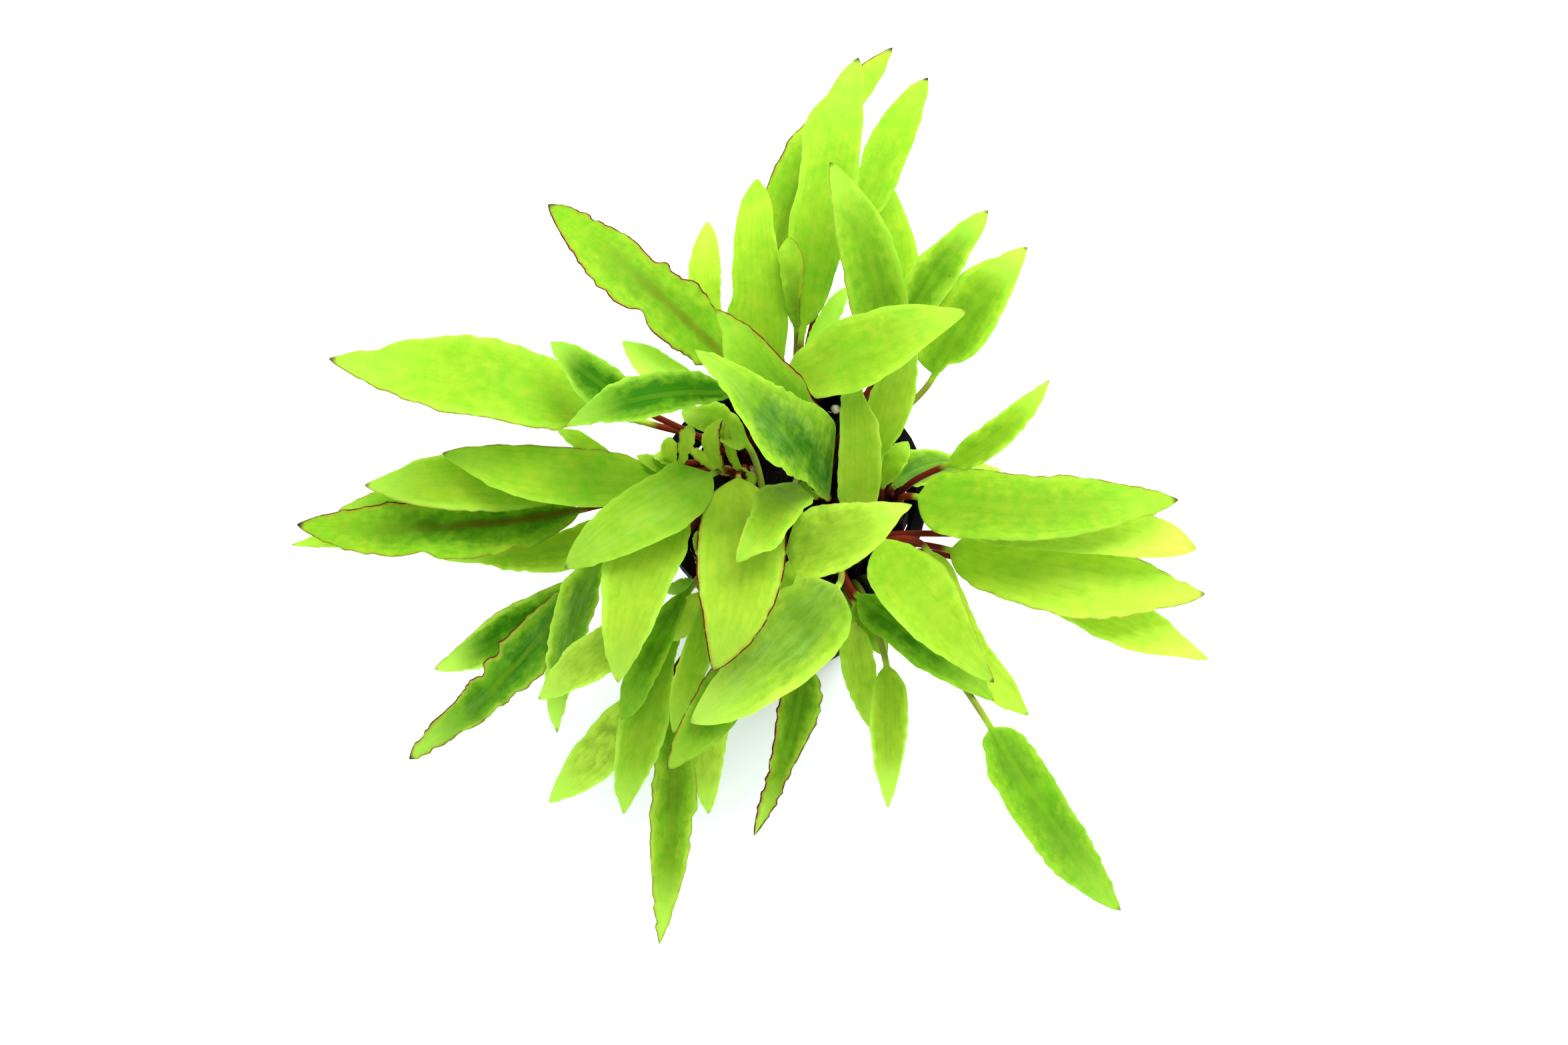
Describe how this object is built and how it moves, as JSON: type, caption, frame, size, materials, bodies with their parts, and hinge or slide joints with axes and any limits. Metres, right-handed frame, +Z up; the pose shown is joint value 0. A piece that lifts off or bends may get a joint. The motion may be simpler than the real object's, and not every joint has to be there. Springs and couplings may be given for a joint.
{
  "type": "potted cryptocoryne aquarium plant",
  "caption": "Aquarium plant with long lance-shaped leaves on thin stalks, growing in wool in a slotted net pot.",
  "frame": {"origin": "centre of the underside of the net pot, where it stands", "axes": "+Z up; -Y towards the viewer of the picture; +X to the picture's right"},
  "size_m": [0.1839, 0.1714, 0.115],
  "materials": {
    "black_plastic": "satin",
    "growing_wool": "matte",
    "stem": "matte",
    "leaf_green": "satin"
  },
  "bodies": {
    "root": {"net_pot": "black_plastic", "growing_wool": "growing_wool", "crown_back": "stem", "crown_left": "stem", "crown_middle": "stem", "crown_right": "stem", "crown_front_right": "stem", "crown_front_left": "stem", "crown_side_left": "stem", "leaf_back_1": "leaf_green", "leaf_back_2": "leaf_green", "leaf_back_3": "leaf_green", "leaf_back_4": "leaf_green", "leaf_back_5": "leaf_green", "leaf_back_6": "leaf_green", "leaf_left_1": "leaf_green", "leaf_left_2": "leaf_green", "leaf_left_3": "leaf_green", "leaf_left_4": "leaf_green", "leaf_left_5": "leaf_green", "leaf_left_6": "leaf_green", "leaf_left_7": "leaf_green", "leaf_middle_1": "leaf_green", "leaf_middle_2": "leaf_green", "leaf_middle_3": "leaf_green", "leaf_middle_4": "leaf_green", "leaf_middle_5": "leaf_green", "leaf_middle_6": "leaf_green", "leaf_middle_7": "leaf_green", "leaf_middle_8": "leaf_green", "leaf_right_1": "leaf_green", "leaf_right_2": "leaf_green", "leaf_right_3": "leaf_green", "leaf_right_4": "leaf_green", "leaf_front_right_1": "leaf_green", "leaf_front_right_2": "leaf_green", "leaf_front_right_3": "leaf_green", "leaf_front_right_4": "leaf_green", "leaf_front_right_5": "leaf_green", "leaf_front_right_6": "leaf_green", "leaf_front_right_7": "leaf_green", "leaf_front_right_8": "leaf_green", "leaf_front_right_9": "leaf_green", "leaf_front_right_10": "leaf_green", "leaf_front_left_1": "leaf_green", "leaf_front_left_2": "leaf_green", "leaf_front_left_3": "leaf_green", "leaf_front_left_4": "leaf_green", "leaf_front_left_5": "leaf_green", "leaf_front_left_6": "leaf_green", "leaf_front_left_7": "leaf_green", "leaf_front_left_8": "leaf_green", "leaf_side_left_1": "leaf_green", "leaf_side_left_2": "leaf_green", "leaf_side_left_3": "leaf_green", "leaf_side_left_4": "leaf_green", "leaf_side_left_5": "leaf_green", "leaf_side_left_6": "leaf_green", "leaf_side_left_7": "leaf_green", "leaf_side_left_8": "leaf_green"}
  },
  "joints": []
}
